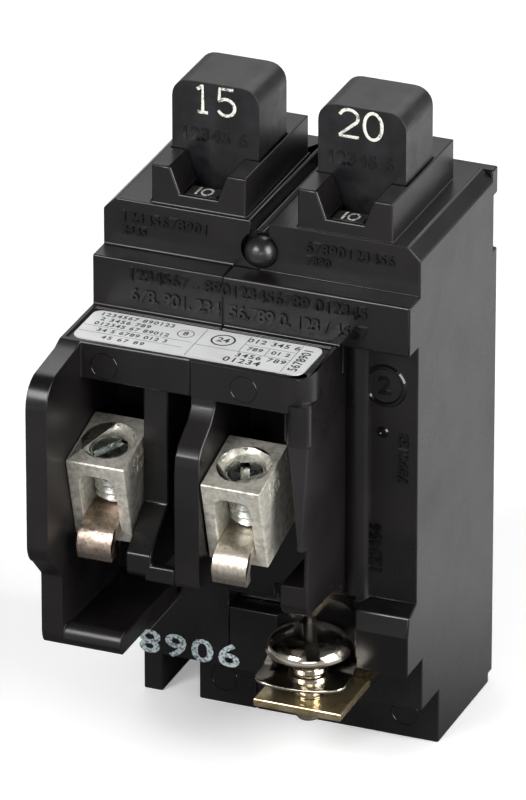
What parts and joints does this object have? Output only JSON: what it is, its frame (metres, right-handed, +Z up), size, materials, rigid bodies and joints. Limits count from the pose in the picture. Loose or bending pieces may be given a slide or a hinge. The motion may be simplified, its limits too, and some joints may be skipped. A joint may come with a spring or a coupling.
{
  "type": "two-pole push-button circuit breaker",
  "caption": "Moulded-case circuit breaker with independent push-button poles, tilted wire lugs in an open terminal bay, and a bolt-on line terminal.",
  "frame": {"origin": "centre of the bounding box's base, on the surface that the feet stand on", "axes": "+Z up towards the push buttons, +X across the poles, -Y towards the terminals"},
  "size_m": [0.0508, 0.063, 0.1045],
  "materials": {
    "case_black": "satin moulded phenolic",
    "button_black": "satin moulded plastic",
    "ball_black": "glossy",
    "flag_black": "matte",
    "label_white": "printed film",
    "lug_aluminium": "tin plated, satin",
    "steel": "zinc plated",
    "nickel": "nickel plated",
    "brass": "passivated",
    "copper": "bare copper",
    "contact_silver": "silver alloy",
    "magnet_steel": "plain",
    "bimetal": "rolled strip",
    "fibre": "vulcanised fibre"
  },
  "bodies": {
    "housing": {"case_left": "case_black", "case_right": "case_black", "back_cover": "case_black", "cover_screws": "steel", "seal_ball": "ball_black", "label": "label_white", "line_strap": "brass", "flag_pin_left": "steel", "fixed_contact_left": "contact_silver", "arm_pin_left": "steel", "cradle_pin_left": "steel", "armature_pin_left": "steel", "bimetal_left": "bimetal", "magnet_yoke_left": "magnet_steel", "calibration_screw_left": "brass", "load_strap_left": "copper", "braid_left": "copper", "arc_boards_left": "fibre", "arc_plates_left": "steel", "lug_left": "lug_aluminium", "button_spring_left": "steel", "flag_pin_right": "steel", "fixed_contact_right": "contact_silver", "arm_pin_right": "steel", "cradle_pin_right": "steel", "armature_pin_right": "steel", "bimetal_right": "bimetal", "magnet_yoke_right": "magnet_steel", "calibration_screw_right": "brass", "load_strap_right": "copper", "braid_right": "copper", "arc_boards_right": "fibre", "arc_plates_right": "steel", "lug_right": "lug_aluminium", "button_spring_right": "steel"},
    "button_left": {"button_left": "button_black"},
    "flag_left": {"flag_left": "flag_black"},
    "contact_arm_left": {"contact_arm_left": "copper", "moving_contact_left": "contact_silver"},
    "cradle_left": {"cradle_left": "steel"},
    "armature_left": {"armature_left": "magnet_steel"},
    "lug_screw_left": {"lug_screw_left": "steel"},
    "button_right": {"button_right": "button_black"},
    "flag_right": {"flag_right": "flag_black"},
    "contact_arm_right": {"contact_arm_right": "copper", "moving_contact_right": "contact_silver"},
    "cradle_right": {"cradle_right": "steel"},
    "armature_right": {"armature_right": "magnet_steel"},
    "lug_screw_right": {"lug_screw_right": "steel"},
    "line_bolt": {"line_bolt": "nickel", "line_washer": "nickel"}
  },
  "joints": [
    {"name": "button_left_push", "type": "slide", "parent": "housing", "child": "button_left", "axis": [0, 0, -1], "range_m": [0, 0.004], "stiffness_N_per_m": 400, "springref_m": -0.002, "deforming": ["button_spring_left"]},
    {"name": "flag_left_tilt", "type": "hinge", "parent": "housing", "child": "flag_left", "pos_m": [-0.0102, 0.00293, 0.073], "axis": [1, 0, 0], "range_deg": [-8.2, 0]},
    {"name": "contact_left_close", "type": "hinge", "parent": "housing", "child": "contact_arm_left", "pos_m": [-0.0122, 0.01523, 0.06], "axis": [1, 0, 0], "range_deg": [-12.2, 0]},
    {"name": "cradle_left_trip", "type": "hinge", "parent": "housing", "child": "cradle_left", "pos_m": [-0.0088, 0.02223, 0.07], "axis": [1, 0, 0], "range_deg": [-15, 0]},
    {"name": "armature_left_pull", "type": "hinge", "parent": "housing", "child": "armature_left", "pos_m": [-0.0122, 0.00882, 0.046], "axis": [1, 0, 0], "range_deg": [0, 4], "stiffness_Nm_per_rad": 0.02, "springref_deg": -2.86},
    {"name": "lug_screw_left_travel", "type": "slide", "parent": "housing", "child": "lug_screw_left", "axis": [0, -0.2588, 0.9659], "range_m": [-0.0002, 0.004]},
    {"name": "button_right_push", "type": "slide", "parent": "housing", "child": "button_right", "axis": [0, 0, -1], "range_m": [0, 0.004], "stiffness_N_per_m": 400, "springref_m": -0.002, "deforming": ["button_spring_right"]},
    {"name": "flag_right_tilt", "type": "hinge", "parent": "housing", "child": "flag_right", "pos_m": [0.0132, 0.00293, 0.073], "axis": [1, 0, 0], "range_deg": [-8.2, 0]},
    {"name": "contact_right_close", "type": "hinge", "parent": "housing", "child": "contact_arm_right", "pos_m": [0.0112, 0.01523, 0.06], "axis": [1, 0, 0], "range_deg": [-12.2, 0]},
    {"name": "cradle_right_trip", "type": "hinge", "parent": "housing", "child": "cradle_right", "pos_m": [0.0146, 0.02223, 0.07], "axis": [1, 0, 0], "range_deg": [-15, 0]},
    {"name": "armature_right_pull", "type": "hinge", "parent": "housing", "child": "armature_right", "pos_m": [0.0112, 0.00882, 0.046], "axis": [1, 0, 0], "range_deg": [0, 4], "stiffness_Nm_per_rad": 0.02, "springref_deg": -2.86},
    {"name": "lug_screw_right_travel", "type": "slide", "parent": "housing", "child": "lug_screw_right", "axis": [0, -0.2588, 0.9659], "range_m": [-0.0002, 0.004]},
    {"name": "line_bolt_travel", "type": "slide", "parent": "housing", "child": "line_bolt", "axis": [0, 0, 1], "range_m": [-0.0035, 0.002]}
  ],
  "couplings": [
    {"joint": "flag_left_tilt", "follows": "button_left_push", "rad_per_m": -34.9},
    {"joint": "contact_left_close", "follows": "button_left_push", "rad_per_m": -52.36},
    {"joint": "flag_right_tilt", "follows": "button_right_push", "rad_per_m": -34.9},
    {"joint": "contact_right_close", "follows": "button_right_push", "rad_per_m": -52.36}
  ]
}
